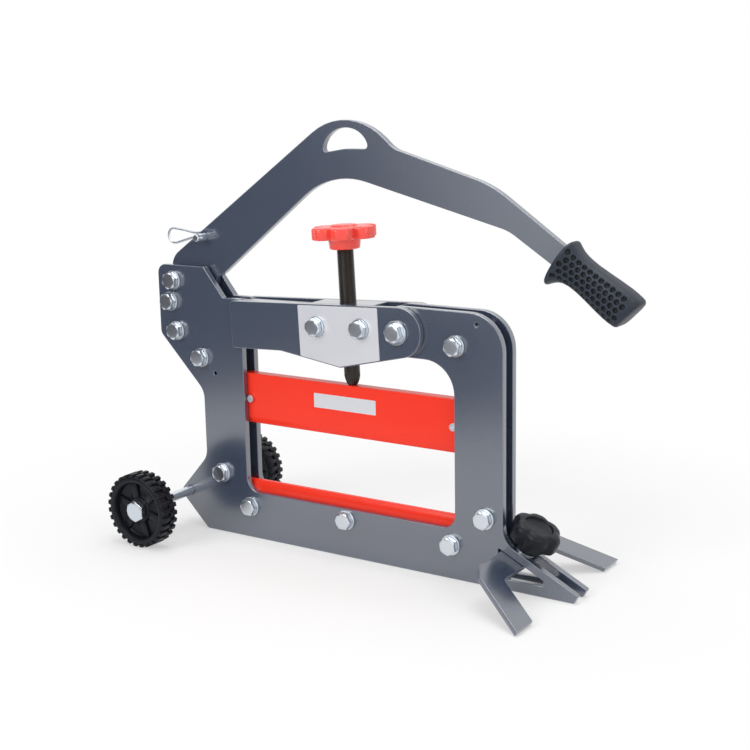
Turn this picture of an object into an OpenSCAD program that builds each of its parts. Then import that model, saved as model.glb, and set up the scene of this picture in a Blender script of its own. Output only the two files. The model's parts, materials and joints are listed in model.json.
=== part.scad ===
// Masonry block splitter. Two bolted side plates hold a lower blade, a sliding upper blade
// and a rocking beam.
// A long hand lever presses the beam's tongue with its cam, and the beam's screw presses the upper blade.
// X runs along the plates towards the hand grip, Y from the front plate to the rear plate,
// Z up from the ground.
// The origin is under the middle of the splitting window, on the ground.

/* [Side plates] */
// Thickness of each side plate
plate_t = 8; // [6:0.5:10]
// Clear gap between the side plates
plate_gap = 15; // [13:0.5:20]
// Width of the splitting window
window_w = 300; // [280:2:340]
// Height of the base rail under the window
base_h = 60; // [56:1:72]
// Height of the window, from the base rail to the right arm
window_h = 194; // [188:2:220]
// Width of the left column
left_column_w = 65; // [60:1:80]
// Width of the right column
right_column_w = 62; // [56:1:80]
// Height of the right arm that carries the beam's pivot
arm_h = 58; // [52:1:66]
// Rise of the left column's top above the arm's underside
column_rise = 49; // [44:1:54]
// Rise of the head above the left column's top
head_rise = 36.5; // [32:0.5:42]
// Radius of the window's upper right corner
window_top_r = 38; // [20:1:42]
// Radius of the window's lower corners
window_low_r = 17; // [10:1:20]
// Radius of the right column's upper outer corner
shoulder_r = 42; // [20:1:50]

/* [Blades] */
// Height of the upper blade
blade_h = 64; // [56:1:70]
// Length by which each blade end reaches between the plates
blade_overlap = 8; // [5:1:12]
// Width of the flat splitting edge of both blades
blade_edge = 5; // [3:0.5:8]
// Height of the bevel on both blades
blade_bevel = 9; // [6:0.5:12]
// Rise of the lower blade above the base rail
lower_blade_rise = 13; // [11:0.5:16]

/* [Beam and screw] */
// Distance of the beam's pivot from the window's middle
pivot_x = 80; // [76:1:90]
// Distance from the beam's pivot to the press screw
screw_arm = 80; // [78:1:84]
// Height of the beam plates
beam_h = 58; // [52:1:62]
// Thickness of the beam plates
beam_t = 8; // [6:0.5:10]
// Depth of the shallow point under the beam's middle
beam_point = 16; // [8:1:18]
// Angle of the beam at rest, its left end down
beam_rest_angle = 2.4; // [1.5:0.1:2.6]
// Length of the nut block between the beam plates
block_l = 90; // [82:1:92]
// Radius of the press screw
screw_r = 10; // [8:0.5:11]
// Drop of the screw's nose below the pivot's line
screw_drop = 69; // [66:1:74]
// Height of the knob's hub above the pivot's line
knob_rise = 92; // [92:1:110]
// Radius of the screw knob over its lobes
knob_r = 39; // [36:1:42]
// Height of the screw knob's lobes
knob_h = 16; // [12:1:20]

/* [Hand lever] */
// Distance of the lever's pivot outside the window
lever_pivot_out = 107; // [104:1:112]
// Height of the lever's pivot above the left column's top
lever_pivot_rise = 17; // [14:1:20]
// Reach of the lever from its pivot to its neck
lever_reach = 525; // [480:5:560]
// Rise of the lever's back above its pivot
lever_rise = 199; // [180:1:220]
// Height of the lever's neck above its pivot
grip_rise = 61; // [52:1:72]
// Slope of the hand grip, downwards
grip_angle = 35; // [30:0.5:42]
// Length of the hand grip
grip_l = 96; // [88:1:112]
// Radius of the hand grip where it swells before its end
grip_end_r = 22; // [19:0.5:23]
// Radius of the hand grip at its waist
grip_waist_r = 18.5; // [16.5:0.5:19.5]
// Half width of the hand grip's guard
guard_half_w = 22; // [20:0.5:24]
// Thickness of the hand lever
lever_t = 8; // [6:0.5:12]
// Angle by which the lever can be raised
lever_lift = 50; // [40:1:54]

/* [Wheels] */
// Radius of the wheels over their lugs
wheel_r = 46.5; // [42:0.5:50]
// Width of the wheels
wheel_w = 25; // [20:1:30]
// Distance from the middle plane to each wheel's middle
wheel_y = 107.5; // [95:0.5:120]
// Number of lugs in each of a wheel's two rows
lug_count = 28; // [20:2:32]
// Radius of the axle
axle_r = 6; // [5.5:0.5:7]

/* [Toe and foot] */
// Reach of the toe beyond the right column
toe_reach = 92; // [86:1:100]
// Slope of the toe's upper edge and of the foot
toe_angle = 27; // [25:0.5:28]
// Width of the strip that the foot is clamped to
toe_strip = 10; // [8:0.5:11]
// Thickness of the foot
foot_t = 6; // [5:0.5:8]
// Half width of the foot over its tips
foot_half_w = 128; // [115:1:145]
// Width of each of the foot's tips
foot_tip_w = 36; // [28:1:42]
// Radius of the foot's clamping knob
clamp_r = 29; // [28:1:30]
// Height of the foot's clamping knob
clamp_h = 34; // [30:1:36]

/* [Fasteners] */
// Radius of the bolts
bolt_r = 6; // [5:0.5:6.5]
// Width of the hexagon heads and nuts across their flats
hex_af = 19; // [17:0.5:20]
// Height of the bolt heads
head_h = 8; // [6:0.5:10]
// Height of the nuts
nut_h = 10; // [8:0.5:12]
// Radius of the washers
washer_r = 12; // [11:0.5:12.5]
// Thickness of the washers
washer_t = 2.5; // [1.5:0.5:3]

/* [Hidden] */
$fn = 48;

// Clearances: a running fit, a hole round a bolt, sliding faces, the blade in its gap, curved faces, cuts
run_gap = 0.05;
bolt_play = 0.25;
slide_gap = 0.3;
blade_gap = 0.5;
curve_gap = 0.3;
press_gap = 0.4;
overrun = 1;
arc_steps = 10;

// Colours of the finishes
plate_paint = [0.33, 0.36, 0.42];
red_paint = [0.93, 0.20, 0.13];
zinc = [0.80, 0.82, 0.85];
black_oxide = [0.16, 0.14, 0.13];
black_plastic = [0.10, 0.10, 0.11];
red_plastic = [0.93, 0.26, 0.22];
label_silver = [0.78, 0.79, 0.81];

// Levels of the side plates
gap_y = plate_gap / 2;
plate_y = gap_y + plate_t;
half_window = window_w / 2;
arm_z = base_h + window_h;
arm_top = arm_z + arm_h;
column_top = arm_z + column_rise;
head_top = column_top + head_rise;
column_left = -half_window - left_column_w;
right_edge = half_window + right_column_w;

// Pivots
beam_pivot = [pivot_x, arm_z + arm_h / 2];
lever_pivot = [-half_window - lever_pivot_out, column_top + lever_pivot_rise];

// Head of the left column: margin left of the lever's pivot, drop of its lower corner, notch, slope
head_margin = 25;
head_drop = 52;
head_slope = 46;
head_corner_r = 12;
head_elbow_r = 25;
notch_in = 28;
notch_run = 29;
notch_r = 3;
head_left = lever_pivot.x - head_margin;
head_low = column_top - head_drop;
head_elbow = head_low - (column_left - head_left) * tan(head_slope);

// Axle bracket: the axle's place, the margin of the bracket's point, its two slopes
ground_gap = 0.5;
axle_out = 94;
bracket_margin = 18;
bracket_drop = 3;
bracket_up_angle = 48;
bracket_low_angle = 45;
bracket_tip_r = 9;
bracket_elbow_r = 25;
axle = [-half_window - axle_out, wheel_r + ground_gap];
bracket_tip = [axle.x - bracket_margin, axle.y - bracket_drop];
bracket_elbow = bracket_tip.y + (column_left - bracket_tip.x) * tan(bracket_up_angle);
bracket_foot = bracket_tip.x + bracket_tip.y / tan(bracket_low_angle);

// Toe: height of its end, its flare, and the opening that the foot passes through
toe_end_h = 9;
toe_end_lean = 5;
toe_end_r = 2;
toe_flare_r = 26;
toe_floor = 13;
toe_open_in = 6;
toe_open_reach = 50;
toe_open_r = 3;
toe_seat_r = 1;
toe_tip = right_edge + toe_reach;
function toe_edge(x) = toe_end_h + (toe_tip - x) * tan(toe_angle);
function toe_seat(x) = toe_edge(x) - toe_strip / cos(toe_angle);
toe_open_left = right_edge - toe_open_in;
toe_open_right = right_edge + toe_open_reach;

// Ends and edges of the right arm and the plates' small corners
arm_end_share = 0.49;
edge_r = 4;
arm_end_x = beam_pivot.x - arm_h / 2;

// Places of the plate bolts, from the edges that they hold
base_bolt_in = 5;
base_bolt_z = 41;
base_mid_bolt_z = 47;
column_bolt_out = 39;
column_bolt_rise = 19;
arm_bolt_out = 2;
arm_bolt_rise = 19;
stop_bolt_shift = [-6, -27];
head_bolt_shift = [3, -64];
elbow_bolt_shift = [41, -95];
stop_bolt = lever_pivot + stop_bolt_shift;
head_bolt = lever_pivot + head_bolt_shift;
elbow_bolt = lever_pivot + elbow_bolt_shift;
left_bolt = [-half_window - column_bolt_out, base_h + column_bolt_rise];
right_bolt = [half_window + column_bolt_out, base_h + column_bolt_rise];
arm_bolt = [half_window + arm_bolt_out, arm_z + arm_bolt_rise];
left_base_bolt = [-half_window + base_bolt_in, base_bolt_z];
right_base_bolt = [half_window - base_bolt_in, base_bolt_z];
middle_base_bolt = [0, base_mid_bolt_z];
spacer_bolts = [head_bolt, elbow_bolt, left_bolt, right_bolt, arm_bolt];
base_bolts = [left_base_bolt, middle_base_bolt, right_base_bolt];
plain_bolts = concat([stop_bolt], spacer_bolts, base_bolts);
spacer_r = 9;

// Small drain holes in the plates
drain_r = 2.5;
drain_in = 20;
drain_rise = 25;
arm_drain_in = 33;
arm_drain_drop = 13;
drain_holes = [
    [column_left + drain_in, head_elbow + drain_rise],
    [right_edge - arm_drain_in, arm_top - arm_drain_drop]];

// Beam: shape in its own level frame about the pivot
beam_tail = 240;
beam_end_share = 0.49;
beam_point_half = 86;
beam_end_out = 3;
beam_slope = beam_point / beam_point_half;
beam_end = beam_h / 2 + beam_end_out;
beam_end_low = (screw_arm + beam_end) * beam_slope - beam_h / 2 - beam_point;
beam_in = plate_y + slide_gap;
beam_out = beam_in + beam_t;
block_bolt_half = 31;
block_bolt_rise = 2.5;
sleeve_r = 8;
pivot_washer_r = 14;

// Tongue: a bar between the side plates whose round nose lies under the lever's cam
nose_reach = 58;
nose_drop = 30;
nose_r = 10;
tongue_top = 26;
tongue_h = 34;
tongue_t = plate_gap - 2 * blade_gap;
beam_lift = 2.5;
nose_rest = lever_pivot + [nose_reach, -nose_drop];

// Screw, its thrust tip and its knob
tip_l = 24;
tip_cone = 11;
tip_end_r = 6;
tip_slack = 0.5;
hub_h = 12;
hub_r = 19.5;
hub_foot_r = 18;
knob_lobes = 6;
knob_lobe_r = 12;
knob_core_r = 27;
knob_cap_h = 2;
knob_cap_r = 16;
knob_wall = 6;
nose_tip = beam_pivot + turn([-screw_arm, -screw_drop], beam_rest_angle);
blade_top = nose_tip.y - press_gap;
blade_bottom = blade_top - blade_h;
blade_t = plate_gap - 2 * blade_gap;
blade_half = half_window + blade_overlap;
guide_in = 5;
guide_r = 4.5;
guide_h = 4;
guide_stem_r = 3;
guide_slot_l = 6;
guide_slot_w = 1.2;
lower_blade_top = base_h + lower_blade_rise;
lower_blade_past = 15;

// Label plate on the front beam plate
label_t = 0.8;
label_half = 56;
label_edge = 1.5;

// Lever outline: shares of the lever's reach and rise, from its pivot
dome_shares = [0.505, 1.110];
valley_shares = [0.618, 0.842];
back_bend_shares = [0.856, 0.655];
arch_shares = [0.455, 0.711];
belly_bend_shares = [0.893, 0.412];
dome_r = 80;
valley_r = 35;
back_bend_r = 140;
arch_r = 100;
belly_bend_r = 60;
heel = [74, 12];
heel_r = 4;
heel_under = [62, 5];
butt_x = 11;
butt_top = 27;
butt_low = 14;
butt_r = 26;
butt_low_r = 8;
lobe_r = 18;
boss_r = 13;
boss_half = gap_y - blade_gap;
lobe_angle = 85;
cam_lead = 10;
cam_steps = 14;
cam_probe = 0.1;
tang_w = 26;
neck_l = 8;
grip_end_wall = 16;
tang_l = grip_l - grip_end_wall;

// Hand hole under the lever's dome
hole_shares = [0.494, 0.824];
hole_half = 31;
hole_h = 26;
hole_bulge = 2.5;
hole_bulge_r = 90;
hole_low_r = 4;
hole_tilt = 4.5;
hole_from = 15;
hole_steps = 18;

// Lever pin and spring clip
pin_shares = [0.0873, 0.281];
pin_r = 4.5;
pin_front = 19;
pin_rear = 15;
clip_y = 14;
clip_r = 1.5;
clip_tail = 9;
clip_neck = 9;
clip_reach = 38;
clip_sag = 2;
clip_loop_r = 9;
clip_sides = 8;
clip_steps = 12;

// Grip details
grip_neck_r = 20.5;
grip_waist_shares = [0.22, 0.42];
grip_swell_share = 0.85;
grip_taper = 1;
grip_round = 3;
guard_t = 5;
guard_up = 23;
guard_down = 35;
guard_top_r = 16;
lip_half = 11;
lip_run = 18;
lip_r = 8;

// Wheel details
lug_h = 2.5;
lug_share = 0.62;
rim_r = 36;
dish_d = 10;
hub_wheel_r = 16;
hub_in = 6;
spindle_r = 5;
shoulder_gap = 0.3;
axle_nut_af = 24;
cap_h = 9;
cap_skin = 2;
wheel_in = wheel_y - wheel_w / 2;
wheel_out = wheel_y + wheel_w / 2;
hub_out = wheel_out - hub_in;

// Foot details, in the plane of the toe's strip
foot_slip = 0.2;
foot_bar = 31;
foot_back = 2;
foot_shoulder_y = 66;
foot_splay = 29;
foot_flare = 11;
foot_corner_r = 7;
foot_crotch_r = 8;
stud_s = 19;
stud_r = 5;
stud_head_h = 6;
stud_head_af = 13;
stud_thread = 16;
clamp_washer_r = 12;
clamp_washer_t = 2;
clamp_washer_gap = 0.1;
clamp_lobes = 6;
clamp_lobe_r = 13;
clamp_core_r = 25;
clamp_foot_r = 14;
clamp_foot_h = 12;
clamp_dome_h = 3;
foot_origin = [right_edge, 0, toe_seat(right_edge)];
foot_reach = (foot_origin.z - (foot_t + foot_slip) * cos(toe_angle)) / sin(toe_angle);

// Plane geometry
function turn(p, a) = [p.x * cos(a) - p.y * sin(a), p.x * sin(a) + p.y * cos(a)];
function unit(v) = v / norm(v);
function wrap(a) = a > 180 ? a - 360 : a < -180 ? a + 360 : a;
function arc(centre, r, from, sweep) =
    [for (i = [0:arc_steps])
        let (a = from + sweep * i / arc_steps)
        centre + r * [cos(a), sin(a)]];
function rounded_corner(before, at, after, r) =
    let (u = unit(before - at), v = unit(after - at), half = acos(u * v) / 2)
    let (centre = at + unit(u + v) * r / sin(half))
    let (start = at + u * r / tan(half) - centre, end = at + v * r / tan(half) - centre)
    let (from = atan2(start.y, start.x), sweep = wrap(atan2(end.y, end.x) - from))
    arc(centre, r, from, sweep);
function flat(p) = [p.x, p.y];
// An outline from corners [x, y, radius]
function outline(corners) =
    [for (i = [0:len(corners) - 1])
        let (n = len(corners), at = corners[i])
        let (before = corners[(i + n - 1) % n], after = corners[(i + 1) % n])
        each at.z > 0 ? rounded_corner(flat(before), flat(at), flat(after), at.z) : [flat(at)]];
function lever_point(shares) = lever_pivot + [shares.x * lever_reach, shares.y * lever_rise];
function with_r(p, r) = [p.x, p.y, r];

// A flat piece that stands in the XZ plane, centred on y
module upright(y, t) {
    translate([0, y + t / 2, 0])
        rotate([90, 0, 0])
            linear_extrude(t) children();
}

// A round bar along Y from one level to another
module bar(place, from_y, to_y, r) {
    translate([place.x, to_y, place.y])
        rotate([90, 0, 0])
            cylinder(h = to_y - from_y, r = r);
}

// A hexagonal prism along Y
module hex_bar(place, from_y, to_y, af) {
    translate([place.x, to_y, place.y])
        rotate([90, 0, 0])
            cylinder(h = to_y - from_y, r = af / 2 / cos(30), $fn = 6);
}

module hex_bolt(place, half_pack) {
    union() {
        hex_bar(place, -half_pack - washer_t - head_h, -half_pack - washer_t, hex_af);
        bar(place, -half_pack - washer_t - overrun, half_pack + washer_t + nut_h + overrun, bolt_r);
    }
}

module hex_nut(place, half_pack) {
    difference() {
        hex_bar(place, half_pack + washer_t, half_pack + washer_t + nut_h, hex_af);
        bar(place, half_pack, half_pack + washer_t + nut_h + overrun, bolt_r + bolt_play);
    }
}

module washer_pair(place, half_pack, r) {
    for (y = [-half_pack - washer_t, half_pack])
        difference() {
            bar(place, y, y + washer_t, r);
            bar(place, y - overrun, y + washer_t + overrun, bolt_r + bolt_play);
        }
}

// Side plates
side_corners = [
    [bracket_foot, 0, edge_r],
    [toe_tip - toe_end_lean, 0, toe_end_r],
    [toe_tip, toe_end_h, toe_end_r],
    [right_edge, toe_edge(right_edge), toe_flare_r],
    [right_edge, arm_top, shoulder_r],
    [arm_end_x, arm_top, arm_h * arm_end_share],
    [arm_end_x, arm_z, arm_h * arm_end_share],
    [half_window, arm_z, window_top_r],
    [half_window, base_h, window_low_r],
    [-half_window, base_h, window_low_r],
    [-half_window, column_top, notch_r],
    [-half_window - notch_in, column_top, notch_r],
    [-half_window - notch_in - notch_run, head_top, notch_r],
    [head_left, head_top, head_corner_r],
    [head_left, head_low, head_corner_r],
    [column_left, head_elbow, head_elbow_r],
    [column_left, bracket_elbow, bracket_elbow_r],
    with_r(bracket_tip, bracket_tip_r)];

toe_opening = [
    [toe_open_left, toe_floor, toe_open_r],
    [toe_open_right, toe_floor, 0],
    [toe_open_right, toe_seat(toe_open_right), 0],
    [toe_open_left, toe_seat(toe_open_left), toe_seat_r]];

module side_plate(y) {
    color(plate_paint)
        difference() {
            upright(y, plate_t) polygon(outline(side_corners));
            upright(y, plate_t + 2 * overrun) polygon(outline(toe_opening));
            for (place = concat(plain_bolts, [lever_pivot]))
                bar(place, y - plate_t, y + plate_t, bolt_r + bolt_play);
            for (place = drain_holes)
                bar(place, y - plate_t, y + plate_t, drain_r);
            bar(beam_pivot, y - plate_t, y + plate_t, sleeve_r + bolt_play);
            bar(axle, y - plate_t, y + plate_t, axle_r + run_gap);
        }
}

module front_side_plate() { side_plate(-gap_y - plate_t / 2); }
module rear_side_plate() { side_plate(gap_y + plate_t / 2); }

// Blades
module lower_blade() {
    half = half_window + lower_blade_past;
    color(red_paint)
        difference() {
            translate([-half, 0, 0])
                rotate([90, 0, 90])
                    linear_extrude(2 * half)
                        polygon([
                            [-gap_y, 0],
                            [gap_y, 0],
                            [gap_y, lower_blade_top - blade_bevel],
                            [blade_edge / 2, lower_blade_top],
                            [-blade_edge / 2, lower_blade_top],
                            [-gap_y, lower_blade_top - blade_bevel]]);
            for (place = base_bolts)
                bar(place, -plate_gap, plate_gap, bolt_r + bolt_play);
        }
}

module upper_blade() {
    color(red_paint)
        difference() {
            translate([-blade_half, 0, 0])
                rotate([90, 0, 90])
                    linear_extrude(2 * blade_half)
                        polygon([
                            [-blade_t / 2, blade_top],
                            [-blade_t / 2, blade_bottom + blade_bevel],
                            [-blade_edge / 2, blade_bottom],
                            [blade_edge / 2, blade_bottom],
                            [blade_t / 2, blade_bottom + blade_bevel],
                            [blade_t / 2, blade_top]]);
            for (side = [-1, 1])
                bar(guide_place(side), -plate_gap, plate_gap, guide_stem_r + run_gap);
        }
}

function guide_place(side) =
    [side * (half_window - guide_in), (blade_top + blade_bottom) / 2];

// Screws through the upper blade whose heads run along the window's edges
module blade_guide_screws() {
    color(zinc)
        for (side = [-1, 1])
            difference() {
                union() {
                    bar(guide_place(side), -blade_t / 2 - guide_h, -blade_t / 2, guide_r);
                    bar(guide_place(side), -blade_t / 2 - overrun, blade_t / 2 + overrun, guide_stem_r);
                    bar(guide_place(side), blade_t / 2, blade_t / 2 + guide_h, guide_r);
                }
                translate([guide_place(side).x, -blade_t / 2 - guide_h, guide_place(side).y])
                    cube([guide_slot_l, guide_slot_w * 2, guide_slot_w], center = true);
            }
}

// Plate fasteners
module plate_spacers() {
    color(zinc)
        for (place = spacer_bolts)
            difference() {
                bar(place, -gap_y, gap_y, spacer_r);
                bar(place, -plate_gap, plate_gap, bolt_r + bolt_play);
            }
}

module plate_bolts() {
    color(zinc)
        for (place = plain_bolts)
            hex_bolt(place, plate_y);
}

module plate_washers() {
    color(zinc)
        for (place = concat(plain_bolts, [lever_pivot]))
            washer_pair(place, plate_y, washer_r);
}

module plate_nuts() {
    color(zinc) {
        for (place = concat(plain_bolts, [lever_pivot]))
            hex_nut(place, plate_y);
        hex_nut(beam_pivot, beam_out + slide_gap);
    }
}

module lever_pivot_bolt() {
    color(zinc) hex_bolt(lever_pivot, plate_y);
}

module beam_pivot_bolt() {
    color(zinc) {
        hex_bolt(beam_pivot, beam_out + slide_gap);
        washer_pair(beam_pivot, beam_out + slide_gap, pivot_washer_r);
    }
}

// The sleeve that the beam plates turn on, a little longer than the pack so that they stay free
module beam_pivot_sleeve() {
    half = beam_out + slide_gap;
    color(zinc)
        difference() {
            bar(beam_pivot, -half, half, sleeve_r);
            bar(beam_pivot, -half - overrun, half + overrun, bolt_r + bolt_play);
        }
}

// Wheels and axle
module wheel_axle() {
    shoulder = wheel_in + hub_in - shoulder_gap;
    half = hub_out + cap_h - cap_skin;
    color(zinc)
        union() {
            bar(axle, -shoulder, shoulder, axle_r);
            bar(axle, -half, half, spindle_r);
        }
}

// Closed hexagon nuts on the axle's ends
module axle_nuts() {
    color(zinc)
        for (side = [0, 1])
            mirror([0, side, 0])
                difference() {
                    hex_bar(axle, hub_out + shoulder_gap, hub_out + cap_h, axle_nut_af);
                    bar(axle, wheel_in, hub_out + cap_h - cap_skin, spindle_r);
                }
}

// One row of lugs as a toothed disc, turned by a share of the lugs' pitch
function lug_outline(phase_share) =
    [for (i = [0:lug_count - 1])
        let (pitch = 360 / lug_count, a = (i + phase_share) * pitch, half = pitch * lug_share / 2)
        each [
            (wheel_r - lug_h) * [cos(a - half), sin(a - half)],
            wheel_r * [cos(a - half * lug_share), sin(a - half * lug_share)],
            wheel_r * [cos(a + half * lug_share), sin(a + half * lug_share)],
            (wheel_r - lug_h) * [cos(a + half), sin(a + half)]]];

module wheel(side) {
    color(black_plastic)
        translate([axle.x, side * wheel_y, axle.y])
            rotate([90, 0, 0])
                difference() {
                    union() {
                        linear_extrude(wheel_w / 2) polygon(lug_outline(0));
                        translate([0, 0, -wheel_w / 2])
                            linear_extrude(wheel_w / 2) polygon(lug_outline(1 - lug_share));
                    }
                    for (face = [0, 1])
                        mirror([0, 0, face])
                            translate([0, 0, wheel_w / 2 - dish_d])
                                difference() {
                                    cylinder(h = dish_d + overrun, r = rim_r);
                                    cylinder(h = dish_d - hub_in, r = hub_wheel_r);
                                }
                    cylinder(h = 2 * wheel_w, r = spindle_r + run_gap, center = true);
                }
}

module front_wheel() { wheel(-1); }
module rear_wheel() { wheel(1); }

// Beam: drawn level about its pivot, then turned to its rest angle
module at_beam() {
    translate([beam_pivot.x, 0, beam_pivot.y])
        rotate([0, -beam_rest_angle, 0]) children();
}

block_places = [for (side = [-1, 1]) [-screw_arm + side * block_bolt_half, block_bolt_rise]];

beam_corners = [
    [-beam_tail, -beam_h / 2, edge_r],
    [-screw_arm - beam_point_half, -beam_h / 2, beam_point],
    [-screw_arm, -beam_h / 2 - beam_point, edge_r],
    [beam_end, beam_end_low, beam_h * beam_end_share],
    [beam_end, beam_h / 2, beam_h * beam_end_share],
    [-beam_tail, beam_h / 2, edge_r]];

module beam_plate(y) {
    color(plate_paint)
        at_beam()
            difference() {
                upright(y, beam_t) polygon(outline(beam_corners));
                bar([0, 0], y - beam_t, y + beam_t, sleeve_r + run_gap);
                for (place = block_places)
                    bar(place, y - beam_t, y + beam_t, bolt_r + bolt_play);
            }
}

module front_beam_plate() { beam_plate(-beam_in - beam_t / 2); }
module rear_beam_plate() { beam_plate(beam_in + beam_t / 2); }

module nut_block() {
    color(plate_paint)
        at_beam()
            difference() {
                translate([-screw_arm, 0, 0])
                    cube([block_l, 2 * beam_in, beam_h], center = true);
                translate([-screw_arm, 0, 0])
                    cylinder(h = 2 * beam_h, r = screw_r + run_gap, center = true);
                for (place = block_places)
                    bar(place, -beam_out, beam_out, bolt_r + bolt_play);
            }
}

nose_place = turn(nose_rest - beam_pivot, -beam_rest_angle);

module beam_tongue() {
    block_left = -screw_arm - block_l / 2;
    color(plate_paint)
        at_beam()
            upright(0, tongue_t)
                polygon(concat(
                    [[block_left, tongue_top], [nose_place.x, nose_place.y + nose_r]],
                    arc(nose_place, nose_r, 90, 180),
                    [[block_left, tongue_top - tongue_h]]));
}

module block_bolts() {
    color(zinc)
        at_beam()
            for (place = block_places)
                hex_bolt(place, beam_out);
}

module block_washers() {
    color(zinc)
        at_beam()
            for (place = block_places)
                washer_pair(place, beam_out, washer_r);
}

module block_nuts() {
    color(zinc)
        at_beam()
            for (place = block_places)
                hex_nut(place, beam_out);
}

// A bare plate on the front beam plate, cut out round the block bolts' washers
label_low = label_edge - beam_h / 2 - (beam_point_half - label_half) * beam_slope;
label_corners = [
    [-screw_arm - label_half, beam_h / 2 - label_edge, label_edge],
    [-screw_arm - label_half, label_low, label_edge],
    [-screw_arm, label_edge - beam_h / 2 - beam_point, label_edge],
    [-screw_arm + label_half, label_low, label_edge],
    [-screw_arm + label_half, beam_h / 2 - label_edge, label_edge]];

module label_plate() {
    color(label_silver)
        at_beam()
            difference() {
                upright(-beam_out - label_t / 2, label_t) polygon(outline(label_corners));
                for (place = block_places)
                    bar(place, -beam_out - 2 * label_t, -beam_out + label_t, washer_r + bolt_play);
            }
}

// Press screw
module at_screw() {
    at_beam()
        translate([-screw_arm, 0, 0]) children();
}

module thrust_tip() {
    color(black_oxide)
        at_screw()
            translate([0, 0, -screw_drop])
                rotate_extrude()
                    polygon([
                        [0, 0],
                        [tip_end_r, 0],
                        [screw_r - tip_slack, tip_cone],
                        [screw_r - tip_slack, tip_l],
                        [0, tip_l]]);
}

module press_screw() {
    color(black_oxide)
        at_screw()
            translate([0, 0, tip_l - screw_drop])
                cylinder(h = knob_rise + hub_h + knob_h - knob_wall - tip_l + screw_drop, r = screw_r);
}

module screw_knob() {
    color(red_plastic)
        at_screw()
            translate([0, 0, knob_rise])
                difference() {
                    union() {
                        cylinder(h = hub_h + overrun, r1 = hub_foot_r, r2 = hub_r);
                        translate([0, 0, hub_h]) {
                            cylinder(h = knob_h - knob_cap_h, r = knob_core_r);
                            cylinder(h = knob_h, r = knob_cap_r);
                            for (i = [0:knob_lobes - 1])
                                rotate([0, 0, i * 360 / knob_lobes])
                                    translate([knob_r - knob_lobe_r, 0, 0])
                                        cylinder(h = knob_h - knob_cap_h, r = knob_lobe_r);
                        }
                    }
                    translate([0, 0, -overrun])
                        cylinder(h = hub_h + knob_h - knob_wall + overrun, r = screw_r);
                }
}

// Hand lever: the cam follows the tongue's nose through the lever's lift,
// and a boss keeps the lever in the middle of its gap
function nose_at(t) = beam_pivot + turn(nose_rest - beam_pivot, -t * beam_lift / lever_lift);
function pitch_at(t) = turn(nose_at(t) - lever_pivot, -t);
function cam_at(t) =
    let (along = unit(pitch_at(t + cam_probe) - pitch_at(t - cam_probe)))
    lever_pivot + pitch_at(t) + (nose_r + curve_gap) * turn(along, -90);
cam_points =
    [for (i = [cam_steps:-1:0])
        let (p = cam_at(-cam_lead + (lever_lift + 2 * cam_lead) * i / cam_steps)) [p.x, p.y, 0]];

lever_neck = lever_pivot + [lever_reach, grip_rise];
function grip_point(along, across) = lever_neck + turn([along, across], -grip_angle);
grip_start = grip_point(neck_l, 0);

lever_corners = concat(
    [with_r(lever_pivot + heel, heel_r),
        with_r(lever_point(arch_shares), arch_r),
        with_r(lever_point(belly_bend_shares), belly_bend_r),
        with_r(grip_point(0, -tang_w / 2), 0),
        with_r(grip_point(neck_l + tang_l, -tang_w / 2), edge_r),
        with_r(grip_point(neck_l + tang_l, tang_w / 2), edge_r),
        with_r(grip_point(0, tang_w / 2), 0),
        with_r(lever_point(back_bend_shares), back_bend_r),
        with_r(lever_point(valley_shares), valley_r),
        with_r(lever_point(dome_shares), dome_r),
        with_r(lever_pivot + [-butt_x, butt_top], butt_r),
        with_r(lever_pivot + [-butt_x, -butt_low], butt_low_r),
        with_r(lever_pivot + turn([lobe_r, 0], -lobe_angle), 0)],
    cam_points,
    [with_r(lever_pivot + heel_under, heel_r)]);

hole_sill = lever_point(hole_shares);
function hole_corner(p, r) = with_r(hole_sill + turn(p, hole_tilt), r);
hole_corners = concat(
    [hole_corner([-hole_half, 0], hole_low_r),
        hole_corner([0, hole_bulge], hole_bulge_r),
        hole_corner([hole_half, 0], hole_low_r)],
    [for (i = [0:hole_steps])
        let (a = hole_from + (180 - 2 * hole_from) * i / hole_steps)
        hole_corner([hole_half * cos(a), hole_h * sin(a)], 0)]);

pin_place = lever_point(pin_shares);

module hand_lever() {
    color(plate_paint)
        difference() {
            union() {
                upright(0, lever_t) polygon(outline(lever_corners));
                bar(lever_pivot, -boss_half, boss_half, boss_r);
            }
            upright(0, lever_t + 2 * overrun) polygon(outline(hole_corners));
            bar(lever_pivot, -plate_gap, plate_gap, bolt_r + run_gap);
            bar(pin_place, -plate_gap, plate_gap, pin_r + run_gap);
        }
}

// Hand grip: along its own axis from the guard to the end, pushed over the lever's tang
module at_grip() {
    translate([grip_start.x, 0, grip_start.y])
        rotate([0, 90 + grip_angle, 0]) children();
}

// The guard in the plane across the grip, with X towards its lower lip
guard_corners = [
    [-guard_up, -guard_half_w, guard_top_r],
    [guard_down, -lip_half, lip_r],
    [guard_down, lip_half, lip_r],
    [-guard_up, guard_half_w, guard_top_r]];

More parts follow.
